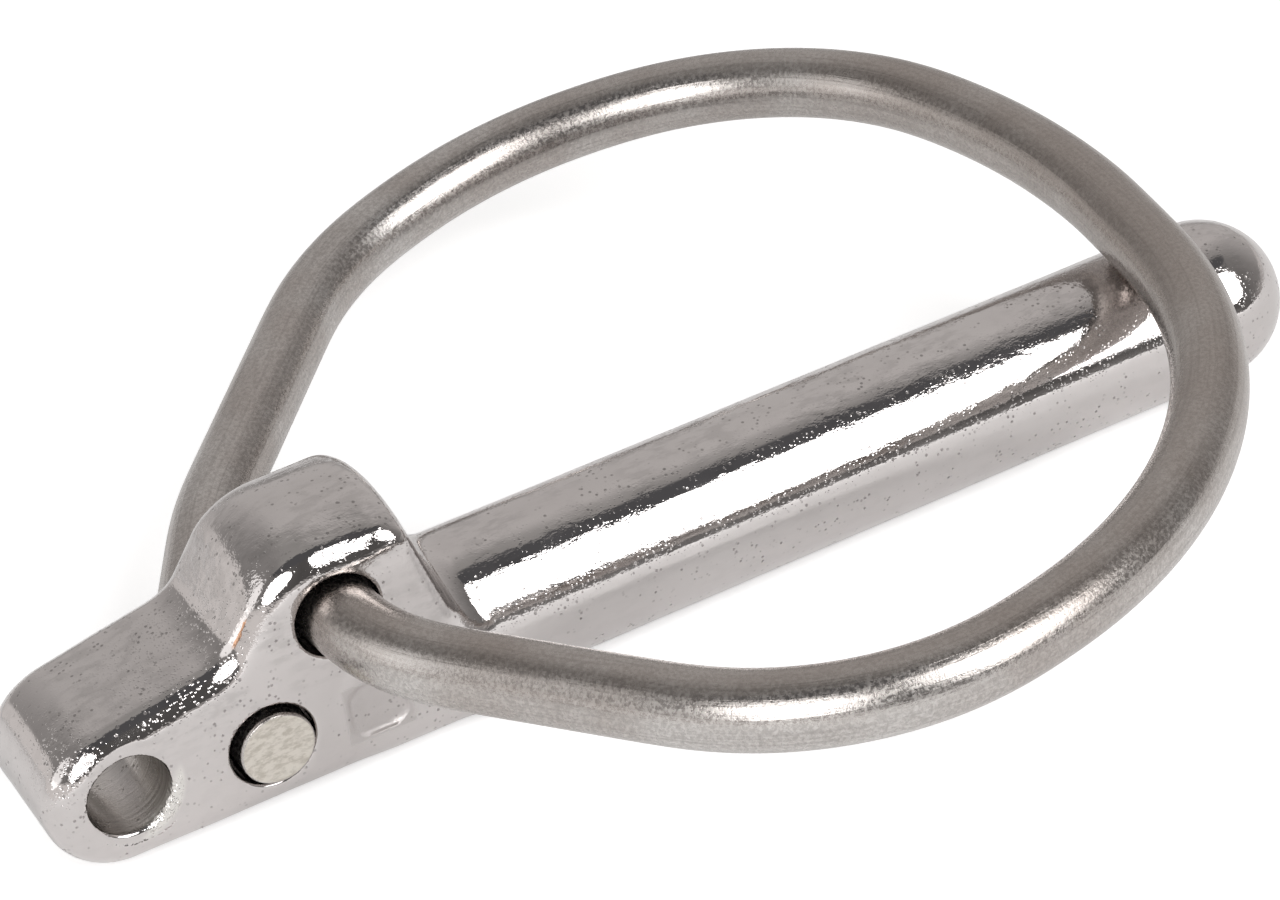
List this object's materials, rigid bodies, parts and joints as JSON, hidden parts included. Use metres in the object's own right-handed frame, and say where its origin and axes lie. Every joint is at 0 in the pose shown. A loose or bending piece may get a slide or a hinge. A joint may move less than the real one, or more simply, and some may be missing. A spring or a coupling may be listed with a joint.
{
  "type": "lynch pin",
  "caption": "Round pin with a flat-sided head, a lanyard eye, and a sprung wire ring that snaps over the shank to hold it in its hole.",
  "frame": {"origin": "on the shank's axis, at the shoulder where the head ends and the shank begins", "axes": "+X along the shank to its round tip, +Z towards the side of the head that the closed ring lies on, +Y across the head to its far flat side"},
  "size_m": [0.0839, 0.0716, 0.017],
  "materials": {
    "cast_steel": "polished cast stainless steel with fine pits",
    "spring_wire": "satin drawn stainless spring wire"
  },
  "bodies": {
    "pin_body": {"pin_body": "cast_steel"},
    "ring": {"ring": "spring_wire"}
  },
  "joints": [
    {"name": "ring_flip", "type": "hinge", "parent": "pin_body", "child": "ring", "pos_m": [-0.0109, 0, 0.0035], "axis": [0, -1, 0], "range_deg": [0, 180], "deforming": ["ring"]}
  ]
}
